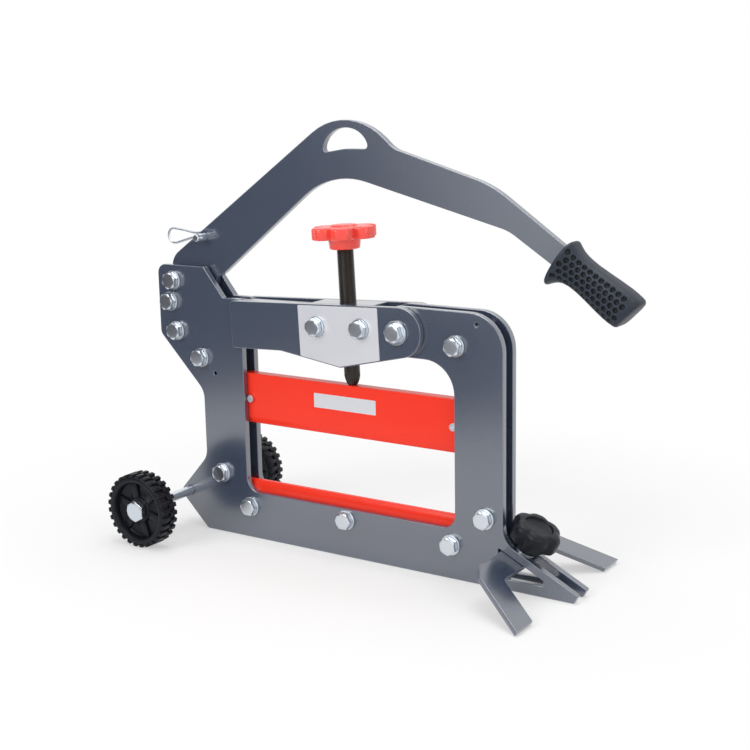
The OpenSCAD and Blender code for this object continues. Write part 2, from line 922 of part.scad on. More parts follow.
module hand_grip() {
    color(black_plastic)
        difference() {
            union() {
                at_grip() {
                    rotate_extrude()
                        polygon([
                            [0, 0],
                            [grip_neck_r, 0],
                            [grip_waist_r, grip_l * grip_waist_shares[0]],
                            [grip_waist_r, grip_l * grip_waist_shares[1]],
                            [grip_end_r, grip_l * grip_swell_share],
                            [grip_end_r - grip_taper, grip_l - grip_round],
                            [grip_end_r - grip_taper - grip_round, grip_l],
                            [0, grip_l]]);
                    linear_extrude(guard_t) polygon(outline(guard_corners));
                }
                upright(0, 2 * lip_half)
                    polygon([
                        grip_point(neck_l, 0),
                        grip_point(neck_l, lip_r - guard_down),
                        grip_point(neck_l + lip_run, -grip_waist_r),
                        grip_point(neck_l + lip_run, 0)]);
            }
            upright(0, lever_t)
                polygon([
                    grip_point(neck_l - overrun, -tang_w / 2),
                    grip_point(neck_l + tang_l, -tang_w / 2),
                    grip_point(neck_l + tang_l, tang_w / 2),
                    grip_point(neck_l - overrun, tang_w / 2)]);
        }
}

// Lever pin with a cross hole for the spring clip
module lever_pin() {
    front = -lever_t / 2 - pin_front;
    rear = lever_t / 2 + pin_rear;
    color(zinc)
        difference() {
            bar(pin_place, front, rear, pin_r);
            translate([pin_place.x, -lever_t / 2 - clip_y, pin_place.y])
                rotate([0, 90, 0])
                    cylinder(h = 4 * pin_r, r = clip_r + run_gap, center = true);
        }
}

// Spring clip: one wire, through the pin, round a loop and back over the pin
clip_over = pin_r + clip_r + curve_gap;
clip_path = concat(
    [[clip_tail, 0], [-clip_neck, 0]],
    [for (i = [0:clip_steps])
        let (a = -90 - 180 * i / clip_steps)
        [-clip_reach, clip_over / 2 - clip_sag] + clip_loop_r * [cos(a), sin(a)]],
    [[-clip_neck, clip_over], [clip_tail / 2, clip_over]]);

function clip_normal(i) =
    let (before = clip_path[max(i - 1, 0)], after = clip_path[min(i + 1, len(clip_path) - 1)])
    turn(unit(after - before), 90);

module spring_clip() {
    rings = len(clip_path);
    last = (rings - 1) * clip_sides;
    points =
        [for (i = [0:rings - 1], j = [0:clip_sides - 1])
            let (a = 360 * j / clip_sides, p = clip_path[i] + clip_r * cos(a) * clip_normal(i))
            [p.x, clip_r * sin(a), p.y]];
    sides =
        [for (i = [0:rings - 2], j = [0:clip_sides - 1])
            let (k = (j + 1) % clip_sides, a = i * clip_sides, b = a + clip_sides)
            each [[a + j, b + k, a + k], [a + j, b + j, b + k]]];
    caps =
        [for (j = [1:clip_sides - 2])
            each [[0, j, j + 1], [last, last + j + 1, last + j]]];
    color(zinc)
        translate([pin_place.x, -lever_t / 2 - clip_y, pin_place.y])
            polyhedron(points, concat(sides, caps));
}

// Stabiliser foot: drawn in the plane of the toe's strip, with X down the slope
module at_foot() {
    translate(foot_origin)
        rotate([0, toe_angle, 0]) children();
}

foot_shoulder = foot_half_w - (foot_reach - foot_flare) * tan(foot_splay);
foot_crotch = foot_half_w - foot_tip_w - (foot_reach - foot_bar + foot_back) * tan(foot_splay);

function foot_side(side) = [
    [-foot_back, side * foot_shoulder_y, foot_corner_r],
    [foot_flare, side * foot_shoulder, foot_corner_r],
    [foot_reach, side * foot_half_w, 0],
    [foot_reach, side * (foot_half_w - foot_tip_w), 0],
    [foot_bar - foot_back, side * foot_crotch, foot_crotch_r]];

function reversed(list) = [for (i = [len(list) - 1:-1:0]) list[i]];

module stabiliser_foot() {
    color(plate_paint)
        at_foot()
            difference() {
                translate([0, 0, -foot_slip - foot_t])
                    linear_extrude(foot_t)
                        polygon(outline(concat(foot_side(-1), reversed(foot_side(1)))));
                translate([stud_s, 0, -2 * foot_t])
                    cylinder(h = 3 * foot_t, r = stud_r + bolt_play);
            }
}

stud_top = toe_strip + clamp_washer_gap + clamp_washer_t + stud_thread;

module foot_stud() {
    under = -foot_slip - foot_t;
    color(zinc)
        at_foot()
            translate([stud_s, 0, 0])
                union() {
                    translate([0, 0, under - stud_head_h])
                        cylinder(h = stud_head_h, r = stud_head_af / 2 / cos(30), $fn = 6);
                    translate([0, 0, under - overrun])
                        cylinder(h = stud_top - under + overrun, r = stud_r);
                }
}

module foot_washer() {
    color(zinc)
        at_foot()
            translate([stud_s, 0, toe_strip + clamp_washer_gap])
                difference() {
                    cylinder(h = clamp_washer_t, r = clamp_washer_r);
                    translate([0, 0, -overrun])
                        cylinder(h = clamp_washer_t + 2 * overrun, r = stud_r + bolt_play);
                }
}

module foot_knob() {
    lobes_h = clamp_h - clamp_foot_h - clamp_dome_h;
    color(black_plastic)
        at_foot()
            translate([stud_s, 0, toe_strip + clamp_washer_gap + clamp_washer_t])
                difference() {
                    union() {
                        cylinder(h = clamp_foot_h + overrun, r = clamp_foot_r);
                        translate([0, 0, clamp_foot_h]) {
                            cylinder(h = lobes_h, r = clamp_core_r);
                            cylinder(h = lobes_h + clamp_dome_h, r1 = clamp_core_r, r2 = clamp_foot_r);
                            for (i = [0:clamp_lobes - 1])
                                rotate([0, 0, i * 360 / clamp_lobes])
                                    translate([clamp_r - clamp_lobe_r, 0, 0])
                                        cylinder(h = lobes_h, r = clamp_lobe_r);
                        }
                    }
                    translate([0, 0, -overrun])
                        cylinder(h = stud_thread + 2 * overrun, r = stud_r + run_gap);
                }
}

front_side_plate();
rear_side_plate();
lower_blade();
plate_spacers();
plate_bolts();
plate_washers();
plate_nuts();
lever_pivot_bolt();
beam_pivot_bolt();
beam_pivot_sleeve();
wheel_axle();
axle_nuts();
hand_lever();
hand_grip();
lever_pin();
spring_clip();
front_beam_plate();
rear_beam_plate();
nut_block();
beam_tongue();
block_bolts();
block_washers();
block_nuts();
label_plate();
thrust_tip();
press_screw();
screw_knob();
upper_blade();
blade_guide_screws();
front_wheel();
rear_wheel();
stabiliser_foot();
foot_stud();
foot_washer();
foot_knob();
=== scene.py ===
# %% [markdown]
# # A masonry block splitter
# Two alike steel plates stand on the ground and hold a fixed lower blade, a sliding upper blade
# and a rocking beam. A long hand lever presses the beam, and a screw in the beam presses the
# upper blade onto the block. The CAD frame already gives every piece its place and its joints.
# This lesson gives the pieces their forms and finishes in the same frame, in metres.

import json
import math

import bmesh
import bpy
from mathutils import Matrix, Vector


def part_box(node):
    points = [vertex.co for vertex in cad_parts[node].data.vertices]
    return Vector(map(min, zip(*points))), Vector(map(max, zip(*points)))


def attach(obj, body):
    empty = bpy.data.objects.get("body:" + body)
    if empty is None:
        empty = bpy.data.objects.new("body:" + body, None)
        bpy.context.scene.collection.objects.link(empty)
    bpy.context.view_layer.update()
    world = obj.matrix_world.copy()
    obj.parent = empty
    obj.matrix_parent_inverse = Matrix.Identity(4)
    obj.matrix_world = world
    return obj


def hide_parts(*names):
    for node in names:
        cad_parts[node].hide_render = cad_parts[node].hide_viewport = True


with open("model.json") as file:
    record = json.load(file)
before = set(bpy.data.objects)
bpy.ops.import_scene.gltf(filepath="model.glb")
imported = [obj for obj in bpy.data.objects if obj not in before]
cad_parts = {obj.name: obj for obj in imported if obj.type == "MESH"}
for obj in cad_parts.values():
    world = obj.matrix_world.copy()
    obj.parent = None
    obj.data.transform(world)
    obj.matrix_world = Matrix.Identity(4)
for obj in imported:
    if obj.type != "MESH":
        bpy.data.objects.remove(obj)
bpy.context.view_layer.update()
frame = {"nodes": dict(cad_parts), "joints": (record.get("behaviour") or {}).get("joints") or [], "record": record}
joints = {joint["name"]: joint for joint in frame["joints"]}

# %% [markdown]
# Shaders and geometry nodes are both trees of nodes with sockets. One small class keeps the
# wiring readable: a socket is fed either a value or the output of another node.


# %% wiring
class Wiring:
    """A node tree with short calls."""

    def __init__(self, tree):
        self.tree = tree

    def feed(self, socket, value):
        if isinstance(value, bpy.types.NodeSocket):
            self.tree.links.new(value, socket)
        else:
            socket.default_value = value

    def add(self, kind, feeds=None, **settings):
        node = self.tree.nodes.new(kind)
        for name, value in settings.items():
            setattr(node, name, value)
        for key, value in (feeds or {}).items():
            self.feed(node.inputs[key], value)
        return node

    def math(self, operation, *values):
        return self.add("ShaderNodeMath", dict(enumerate(values)), operation=operation).outputs[0]


# %% [markdown]
# The finishes are the record's material slots: powder paint on the plates, red paint on the
# blades, bright zinc on the fasteners, oiled black on the screw, moulded plastic and rubber.
# Each one drifts a little in tone and gloss, because sprayed, plated and moulded skins do, and
# has a fine grain as bump. Rounded edges carry an attribute named edge, where a painted
# highlight lifts the colour. In the rubber the same attribute marks the holes, where painted
# shade darkens the colour.

# %% finishes
cloud_scale, rough_drift = 11.0, 0.08
grain_depth = 0.0004
coat_ior, coat_roughness = 2.0, 0.2


def surface(name, colour, roughness, metallic=0.0, gloss=0.5, tone=0.05, grain=900.0, bump=0.05,
            edge=0.0, coat=0.0, stretch=(1.0, 1.0, 1.0)):
    """A finish made from noise in the piece's own coordinates."""
    material = bpy.data.materials.new(name)
    material.use_nodes = True
    w = Wiring(material.node_tree)
    shader = material.node_tree.nodes["Principled BSDF"]
    place = w.add("ShaderNodeTexCoord").outputs["Object"]
    cloud = w.add("ShaderNodeTexNoise", {"Vector": place, "Scale": cloud_scale, "Detail": 3.0})
    drift = w.math("MULTIPLY_ADD", cloud.outputs[0], 2.0 * tone, 1.0 - tone)
    # The edge attribute lifts the colour as a painted highlight on rounded edges; a negative amount darkens it as
    # painted shade in the rubber's holes.
    painted_light_mask = w.add("ShaderNodeAttribute", attribute_name="edge").outputs["Fac"]
    lift = w.math("MULTIPLY_ADD", painted_light_mask, edge, drift)
    tinted = w.add("ShaderNodeVectorMath", {0: colour, "Scale": lift}, operation="SCALE")
    rough = w.math("MULTIPLY_ADD", cloud.outputs[0], rough_drift, roughness - rough_drift / 2)
    drawn = w.add("ShaderNodeMapping", {"Vector": place, "Scale": stretch}).outputs[0]
    skin = w.add("ShaderNodeTexNoise", {"Vector": drawn, "Scale": grain, "Detail": 2.0})
    relief = w.add("ShaderNodeBump", {"Height": skin.outputs[0], "Strength": bump,
                                      "Distance": grain_depth})
    feeds = {"Base Color": tinted.outputs[0], "Roughness": rough, "Normal": relief.outputs[0],
             "Metallic": metallic, "Specular IOR Level": gloss, "Coat Weight": coat,
             "Coat IOR": coat_ior, "Coat Roughness": coat_roughness}
    for socket, value in feeds.items():
        w.feed(shader.inputs[socket], value)
    return material


# The edge amounts paint a highlight on rounded edges; the rubber's negative amount paints shade into its holes.
looks = {
    "anthracite_paint": dict(colour=(0.045, 0.062, 0.102), roughness=0.24, gloss=0.8, tone=0.04,
                             grain=500.0, bump=0.015, edge=0.4, coat=1.0),
    "red_paint": dict(colour=(0.92, 0.036, 0.014), roughness=0.24, gloss=0.3, bump=0.02, edge=0.05),
    "zinc": dict(colour=(0.67, 0.715, 0.77), roughness=0.28, metallic=1.0, tone=0.07,
                 grain=420.0, bump=0.09),
    "black_oxide": dict(colour=(0.026, 0.022, 0.018), roughness=0.26, metallic=0.5, tone=0.15),
    "black_plastic": dict(colour=(0.006, 0.0075, 0.0115), roughness=0.38, gloss=0.22,
                          grain=1400.0, bump=0.12),
    "grip_rubber": dict(colour=(0.02, 0.026, 0.04), roughness=0.45, gloss=0.3,
                        grain=1600.0, bump=0.1, edge=-0.92),
    "red_plastic": dict(colour=(0.92, 0.075, 0.055), roughness=0.26, gloss=0.6, bump=0.03),
    "label_silver": dict(colour=(0.78, 0.79, 0.83), roughness=0.4, metallic=0.5, tone=0.03,
                         grain=300.0, bump=0.06, stretch=(0.05, 1.0, 6.0)),
}
finishes = {name: surface(name, **look) for name, look in looks.items()}
slot_of = {part["node"]: part["material_slot"] for part in frame["record"]["subparts"]}
print("finishes:", sorted(finishes))

# %% [markdown]
# The camera is the one that took the photo, found from the straight edges of the plates: it
# stands in front and to the right, a little above the object, and is turned by one degree.

# %% camera
azimuth, elevation, roll = math.radians(33.6), math.radians(12.3), math.radians(1.09)
lens_mm = 66.72
camera_place = (0.9124, -1.3212, 0.5711)
back = Vector((math.sin(azimuth) * math.cos(elevation), -math.cos(azimuth) * math.cos(elevation),
               math.sin(elevation)))
level = Vector((math.cos(azimuth), math.sin(azimuth), 0.0))
down = (-back).cross(level)
camera_x = level * math.cos(roll) + down * math.sin(roll)
camera_y = level * math.sin(roll) - down * math.cos(roll)
camera = bpy.data.objects.new("camera", bpy.data.cameras.new("camera"))
camera.data.lens = lens_mm
camera.matrix_world = Matrix((camera_x, camera_y, back)).transposed().to_4x4()
camera.location = camera_place
bpy.context.scene.collection.objects.link(camera)
bpy.context.scene.camera = camera

# %% [markdown]
# Large soft lamps stand in front, at the right and above, as in a studio, and the world lights
# the rest evenly. What the camera, glass and gloss see of the world is pure white, which puts no
# more light on the object.

# %% lights
world_light = 0.45


def lamp(name, place, aim, size, power):
    """A soft square lamp that looks at a point."""
    light = bpy.data.lights.new(name, "AREA")
    light.shape = "SQUARE"
    light.size = size
    light.energy = power
    obj = bpy.data.objects.new(name, light)
    obj.location = place
    obj.rotation_euler = (Vector(aim) - Vector(place)).to_track_quat("-Z", "Y").to_euler()
    bpy.context.scene.collection.objects.link(obj)


def seen(w):
    """One where the camera, glass or gloss looks, zero for the light on the object."""
    path = w.add("ShaderNodeLightPath").outputs
    clear = w.math("MAXIMUM", path["Is Transmission Ray"], path["Is Glossy Ray"])
    return w.math("MAXIMUM", path["Is Camera Ray"], clear)


lamp("front_lamp", (-0.7, -2.4, 1.6), (0.0, 0.0, 0.25), 1.5, 34.0)
lamp("right_lamp", (2.3, -0.9, 1.1), (0.1, 0.0, 0.25), 1.2, 9.0)
lamp("top_lamp", (0.2, 0.3, 2.4), (0.0, 0.0, 0.2), 1.8, 30.0)

world = bpy.data.worlds.new("studio")
world.use_nodes = True
bpy.context.scene.world = world
w = Wiring(world.node_tree)
strength = w.math("MULTIPLY_ADD", seen(w), 1.0 - world_light, world_light)
w.feed(world.node_tree.nodes["Background"].inputs["Color"], (1.0, 1.0, 1.0, 1.0))
w.feed(world.node_tree.nodes["Background"].inputs["Strength"], strength)
bpy.context.scene.view_settings.view_transform = "Standard"

# %% [markdown]
# The photo has a plain white ground. The floor is a large white sheet that keeps the soft
# shadow near the object and fades to pure white further out. Bright metal in a white room looks
# flat, so two dark cards with soft edges stand in front, a large one at the left and a low one:
# only gloss sees them, and zinc and paint show them as their dark side.

# %% floor and cards
floor_half, floor_z = 6.0, -0.0003
near_white = 0.45


def square_mesh(name, material, half=1.0):
    mesh = bpy.data.meshes.new(name)
    corners = [(-half, -half, 0), (half, -half, 0), (half, half, 0), (-half, half, 0)]
    mesh.from_pydata(corners, [], [(0, 1, 2, 3)])
    mesh.materials.append(material)
    return mesh


def mixed_material(name, mix):
    """A material that mixes two shaders by a share; mix wires and gives all three."""
    material = bpy.data.materials.new(name)
    material.use_nodes = True
    nodes = material.node_tree.nodes
    nodes.remove(nodes["Principled BSDF"])
    w = Wiring(material.node_tree)
    blend = w.add("ShaderNodeMixShader", dict(enumerate(mix(w))))
    w.feed(nodes["Material Output"].inputs["Surface"], blend.outputs[0])
    return material


def fade(w, near, far):
    """Zero up to one distance from the middle and one beyond another, smooth between them."""
    spot = w.add("ShaderNodeTexCoord").outputs["Object"]
    off = w.add("ShaderNodeVectorMath", {0: spot}, operation="LENGTH").outputs["Value"]
    return w.add("ShaderNodeMapRange", {"Value": off, "From Min": near, "From Max": far},
                 interpolation_type="SMOOTHSTEP").outputs[0]


def sheet_mix(w):
    share = w.math("MULTIPLY_ADD", fade(w, 0.3, 0.75), 1.0 - near_white, near_white)
    return (w.math("MULTIPLY", share, seen(w)),
            w.add("ShaderNodeBsdfDiffuse", {"Color": (0.9, 0.9, 0.9, 1.0)}).outputs[0],
            w.add("ShaderNodeEmission", {"Strength": 1.0}).outputs[0])


def card_mix(w):
    return (fade(w, 0.35, 1.0),
            w.add("ShaderNodeBsdfDiffuse", {"Color": (0.1, 0.1, 0.11, 1.0)}).outputs[0],
            w.add("ShaderNodeBsdfTransparent").outputs[0])


def dark_card(name, place, half_width, half_height):
    """A card that only gloss sees, turned towards the middle of the object."""
    card = bpy.data.objects.new(name, square_mesh(name, card_material))
    card.location = place
    ahead = Vector((0.0, 0.0, place[2])) - card.location
    card.rotation_euler = ahead.to_track_quat("Z", "Y").to_euler()
    card.scale = (half_width, half_height, 1.0)
    card.visible_camera = card.visible_diffuse = card.visible_shadow = False
    bpy.context.scene.collection.objects.link(card)


sheet_material = mixed_material("white_sheet", sheet_mix)
floor = bpy.data.objects.new("floor", square_mesh("floor", sheet_material, floor_half))
floor.location.z = floor_z
bpy.context.scene.collection.objects.link(floor)

card_material = mixed_material("dark_card", card_mix)
dark_card("left_card", (-0.75, -0.55, 0.3), 0.75, 0.75)
dark_card("low_card", (-0.2, -0.6, 0.12), 0.3, 0.17)

# %% [markdown]
# Every finished piece is one mesh in the frame of the CAD model. It rides on a body, takes its
# finish from a material slot and stands for the CAD nodes that it replaces.


# %% pieces
def shade(mesh, angle=35.0):
    """Smooth faces, with creases where the surface really turns."""
    for polygon in mesh.polygons:
        polygon.use_smooth = True
    mesh.set_sharp_from_angle(angle=math.radians(angle))


def as_mesh(bm, name):
    """A mesh from an edited one, which is freed."""
    mesh = bpy.data.meshes.new(name)
    bm.to_mesh(mesh)
    bm.free()
    return mesh


def linked(name, mesh):
    obj = bpy.data.objects.new(name, mesh)
    bpy.context.scene.collection.objects.link(obj)
    return obj


def evaluated(obj):
    """The object's mesh with its modifiers applied; the object itself is removed."""
    bpy.context.view_layer.update()
    shown = obj.evaluated_get(bpy.context.evaluated_depsgraph_get())
    made = bpy.data.meshes.new_from_object(shown)
    bpy.data.objects.remove(obj)
    return made


def finish_piece(name, mesh, body, *nodes, slot=None):
    slot = slot or slot_of[nodes[0]]
    mesh.materials.clear()
    mesh.materials.append(finishes[slot])
    piece = linked(name, mesh)
    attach(piece, body)
    if nodes:
        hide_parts(*nodes)
    print(f"{name}: {len(mesh.polygons)} faces on {body}")


# %% [markdown]
# The plates, the lever, the beam and the blades are cut from thick sheet. A laser or a flame
# leaves square edges that are broken with a grinder before painting, so their form is the CAD
# solid with a small round on every edge. Each copy is cleaned of doubled points first, then
# its edges over thirty degrees are bevelled, and its normals are weighted by area so that the
# big faces stay flat in the light.

# %% cut pieces
same_point = 1e-6
flat_angle, sharp_angle = math.radians(1.0), math.radians(30.0)
plate_round, label_round, screw_round = 0.0009, 0.0002, 0.00035


def clean_copy(node):
    bm = bmesh.new()
    bm.from_mesh(frame["nodes"][node].data)
    bmesh.ops.remove_doubles(bm, verts=bm.verts, dist=same_point)
    return bm


def softened(node, width):
    bm = clean_copy(node)
    painted_light_mask = bm.faces.layers.float.new("edge")
    bmesh.ops.dissolve_limit(bm, angle_limit=flat_angle, verts=bm.verts, edges=bm.edges)
    sharp = [e for e in bm.edges
             if len(e.link_faces) == 2 and e.calc_face_angle(0.0) > sharp_angle]
    made = bmesh.ops.bevel(bm, geom=sharp, offset=width, offset_type="OFFSET", segments=3,
                           profile=0.5, affect="EDGES", clamp_overlap=False)
    # The bevel's faces are marked as edge, where the finish paints a highlight.
    for face in made["faces"]:
        face[painted_light_mask] = 1.0
    mesh = as_mesh(bm, node)
    shade(mesh, 40.0)
    holder = linked(node, mesh)
    holder.modifiers.new("flat_faces", "WEIGHTED_NORMAL").keep_sharp = True
    return evaluated(holder)


cut_pieces = {
    "frame": ["front_side_plate", "rear_side_plate", "lower_blade"],
    "lever": ["hand_lever"],
    "beam": ["front_beam_plate", "rear_beam_plate", "nut_block"],
    "upper_blade": ["upper_blade"],
    "foot": ["stabiliser_foot"],
}
for body, nodes in cut_pieces.items():
    for node in nodes:
        finish_piece(node + "_cut", softened(node, plate_round), body, node)
finish_piece("label_plate_cut", softened("label_plate", label_round), "beam", "label_plate")
finish_piece("guide_screws_cut", softened("blade_guide_screws", screw_round), "upper_blade",
             "blade_guide_screws")

# %% [markdown]
# Round pieces are turned on a lathe or moulded in a round tool. They are made from rings of
# points about an axis: a ring has a radius and a height, and either may change with the angle,
# which makes hexagons and lobes with the same few lines. Sizes are in millimetres, measured
# from the CAD nodes in a frame on the piece's own axis.


# %% turned pieces
def turned(levels, steps=64, closed=False, base=0.0):
    """A mesh of rings about Z, with heights over the base.

    A radius of 0 is an end's middle, and closed joins the last ring to the first.
    """
    bm = bmesh.new()
    rings = []
    for radius, height in levels:
        ring = []
        for i in range(1 if radius == 0 else steps):
            a = math.tau * i / steps
            r = radius(a) if callable(radius) else radius
            h = height(a) if callable(height) else height
            ring.append(bm.verts.new((r * math.cos(a), r * math.sin(a), base + h)))
        rings.append(ring)
    pairs = list(zip(rings, rings[1:])) + ([(rings[-1], rings[0])] if closed else [])
    for low, high in pairs:
        for i in range(steps):
            j = (i + 1) % steps
            corners = [low[i % len(low)], low[j % len(low)],
                       high[j % len(high)], high[i % len(high)]]
            bm.faces.new(list(dict.fromkeys(corners)))
    bmesh.ops.recalc_face_normals(bm, faces=bm.faces)
    return as_mesh(bm, "turned")


def on_axis(place, axis):
    """The frame whose Z is the axis, with Y kept along the object's Y where it can be."""
    z = Vector(axis).normalized()
    y = Vector((0.0, 1.0, 0.0)) if abs(z.y) < 0.9 else Vector((0.0, 0.0, 1.0))
    x = y.cross(z).normalized()
    return Matrix.Translation(Vector(place)) @ Matrix((x, z.cross(x), z)).transposed().to_4x4()


def joint_axis(name):
    return on_axis(joints[name]["pos_m"], joints[name]["axis"])


def placed(mesh, axis, angle=40.0):
    """The mesh brought from millimetres on its axis into the frame, and shaded."""
    mesh.transform(axis @ Matrix.Scale(0.001, 4))
    shade(mesh, angle)
    return mesh


def corners_of(points):
    """Lowest and highest corner of the box round some points."""
    return (Vector([min(p[i] for p in points) for i in range(3)]),
            Vector([max(p[i] for p in points) for i in range(3)]))


def points_on(node, axis):
    """The points of a CAD node in a frame, in millimetres."""
    inverse = axis.inverted()
    return [inverse @ v.co * 1000 for v in frame["nodes"][node].data.vertices]


def span(node, axis):
    return corners_of(points_on(node, axis))


def joined(*meshes):
    bm = bmesh.new()
    for mesh in meshes:
        bm.from_mesh(mesh)
    return as_mesh(bm, "joined")


# %% [markdown]
# Knobs with lobes give a gloved hand its hold. Both are moulded, so their edges are round. The
# outline is a core with round lobes, and a soft maximum of the two eases the valleys. A knob has
# a stem, a rim and a cap: the rim's levels say how far the outline is drawn in at each height.

# %% knobs
lobe_count, lobe_gap, knob_steps = 6, 0.3, 144


def lobed(count, tip, lobe, core, ease, square):
    reach = tip + square - lobe

    def radius(a):
        off = (a + math.pi / count) % (math.tau / count) - math.pi / count
        side = min(abs(reach * math.sin(off)), lobe)
        edge = min(reach * math.cos(off) + math.sqrt(lobe ** 2 - side ** 2), tip / math.cos(off))
        return core + ease * math.log(1.0 + math.exp((edge - core) / ease))

    return radius


def inset(outline, amount):
    return lambda a: outline(a) - amount


def knob(node, axis, stem, rim, cap, **form):
    low, high = span(node, axis)
    outline = lobed(lobe_count, high.x - lobe_gap, **form)
    levels = stem + [(inset(outline, amount), height) for amount, height in rim] + cap
    return placed(turned(levels, knob_steps, base=low.z), axis)


screw_axis = joint_axis("screw_turn")
red_knob = knob(
    "screw_knob", screw_axis,
    stem=[(0, 0), (16.8, 0), (17.8, 0.9), (19.0, 10.8), (19.6, 11.6)],
    rim=[(6.5, 11.9), (1.8, 12.1), (0.5, 12.7), (0, 13.9), (0, 24.0), (0.5, 25.2), (1.7, 26.0),
         (6.0, 26.3)],
    cap=[(18.0, 26.3), (16.6, 26.4), (16.0, 26.7), (15.6, 27.5), (14.8, 28.0), (0, 28.0)],
    lobe=13.0, core=27.0, ease=1.2, square=1.5)
finish_piece("screw_knob_lobes", red_knob, "press_screw", "screw_knob")

clamp_axis = joint_axis("clamp_turn")
black_knob = knob(
    "foot_knob", clamp_axis,
    stem=[(0, 0), (13.2, 0), (14.0, 0.8), (14.6, 10.8)],
    rim=[(6.0, 11.8), (2.4, 12.3), (0.8, 13.4), (0, 15.2), (0, 27.5), (0.6, 29.4), (1.9, 31.3),
         (4.0, 32.8), (6.4, 33.6)],
    cap=[(18.0, 33.9), (17.2, 33.8), (16.7, 33.2), (16.2, 31.0), (15.2, 30.4), (0, 30.2)],
    lobe=12.5, core=24.6, ease=2.0, square=0.5)
finish_piece("foot_knob_lobes", black_knob, "foot_knob", "foot_knob")

# %% [markdown]
# Washers are stamped discs. The same ring serves under the clamping knob, under the bolt heads
# and under the nuts.

# %% washers
stud_hole_r, stamp_round = 5.4, 0.35


def washer_mesh(outer, hole, low_z, thick, ease=stamp_round):
    levels = [(hole, 0), (outer - ease, 0), (outer, ease), (outer, thick - ease),
              (outer - ease, thick), (hole, thick)]
    return turned(levels, closed=True, base=low_z)


low, high = span("foot_washer", clamp_axis)
clamp_washer = placed(washer_mesh(high.x, stud_hole_r, low.z, high.z - low.z), clamp_axis)
finish_piece("foot_washer_ring", clamp_washer, "foot_washer", "foot_washer")

# %% [markdown]
# Things that repeat are placed by Geometry Nodes. A tree gets its inputs by name, runs once on
# a host mesh and leaves a plain mesh, so that nothing is live in the finished piece. Every tree
# ends alike: its instances are made real and take the finish.


# %% geometry nodes
def node_tree(name, inputs):
    tree = bpy.data.node_groups.new(name, "GeometryNodeTree")
    tree.interface.new_socket("Geometry", in_out="INPUT", socket_type="NodeSocketGeometry")
    for label, kind in {**inputs, "Material": "Material"}.items():
        tree.interface.new_socket(label, in_out="INPUT", socket_type="NodeSocket" + kind)
    tree.interface.new_socket("Geometry", in_out="OUTPUT", socket_type="NodeSocketGeometry")
    wiring = Wiring(tree)
    return wiring, wiring.add("NodeGroupInput").outputs


def end_tree(wiring, source, geometry):
    real = wiring.add("GeometryNodeRealizeInstances", {0: geometry.outputs[0]})
    painted = wiring.add("GeometryNodeSetMaterial", {"Geometry": real.outputs[0],
                                                     "Material": source["Material"]})
    wiring.add("NodeGroupOutput", {0: painted.outputs[0]})


def run_tree(wiring, host, finish, values):
    holder = linked("host", host)
    modifier = holder.modifiers.new("nodes", "NODES")
    modifier.node_group = wiring.tree
    values = {**values, "Material": finishes[finish]}
    for item in wiring.tree.interface.items_tree:
        if item.in_out == "INPUT" and item.name in values:
            modifier[item.identifier] = values[item.name]
    return evaluated(holder)


def run_with_piece(wiring, host, piece_mesh, finish, values):
    """Runs a tree whose input named Piece is an object that exists only for the run."""
    piece = linked("piece", piece_mesh)
    made = run_tree(wiring, host, finish, {**values, "Piece": piece})
    bpy.data.objects.remove(piece)
    return made


# %% [markdown]
# The bolts are ordinary hexagon bolts. A spanner leaves each head at its own angle, so the tree
# puts one bolt on every point and turns it about Y by a random angle with a fixed seed. Washers
# and nuts are set the same way. The points are the middles of the CAD bolts.

# %% bolt tree
bolt_tree, source = node_tree("bolts_on_points", {"Piece": "Object", "Seed": "Int"})
chance = bolt_tree.add("FunctionNodeRandomValue", {2: 0.0, 3: math.tau, "Seed": source["Seed"]},
                       data_type="FLOAT")
turn = bolt_tree.add("ShaderNodeCombineXYZ", {"Y": chance.outputs[1]})
shape = bolt_tree.add("GeometryNodeObjectInfo", {"Object": source["Piece"]})
spread = bolt_tree.add("GeometryNodeInstanceOnPoints", {
    "Points": source["Geometry"], "Rotation": turn.outputs[0],
    "Instance": shape.outputs["Geometry"]})
end_tree(bolt_tree, source, spread)

# %% [markdown]
# A forged hexagon head is a prism whose corners are turned off by a cone of thirty degrees. In
# rings that is simple: the side's height falls where the hexagon's radius is greater than the
# cone's. A nut has the cone on both ends, and the bolt's end stands one turn out of it.

# %% bolt forms
cone_slope = math.tan(math.radians(30.0))
thread_mouth_r, bolt_hole_r = 7.0, 6.2


def hexagon(flats):
    return lambda a: flats / 2 / math.cos((a + math.pi / 6) % (math.pi / 3) - math.pi / 6)


def coned(flats, height, sign=1.0):
    side = hexagon(flats)
    return lambda a: height - sign * (side(a) - flats / 2 * 0.96) * cone_slope


def head_levels(flats, base, top):
    half = flats / 2
    return [(half * 0.94, base), (half * 0.96, base + 0.4), (hexagon(flats - 0.3), base + 0.5),
            (hexagon(flats), base + 0.9), (hexagon(flats), coned(flats, top - 0.3)),
            (hexagon(flats - 0.5), coned(flats - 0.5, top)), (half * 0.93, top - 0.2),
            (half * 0.75, top - 0.1), (half * 0.4, top - 0.02), (0, top)]


def nut_levels(flats, base, top):
    half = flats / 2
    return [(0, base), (half * 0.93, base),
            (hexagon(flats - 0.5), coned(flats - 0.5, base, -1.0)),
            (hexagon(flats), coned(flats, base + 0.3, -1.0)),
            (hexagon(flats), coned(flats, top - 0.3)),
            (hexagon(flats - 0.5), coned(flats - 0.5, top)), (half * 0.93, top),
            (thread_mouth_r, top), (bolt_hole_r, top - 0.7), (0, top - 0.7)]


# %% [markdown]
# Each set of bolts clamps one pack of plates, whose half thickness gives the washers their seat.
# The pivot bolt has its washers and its nut in the same CAD node.

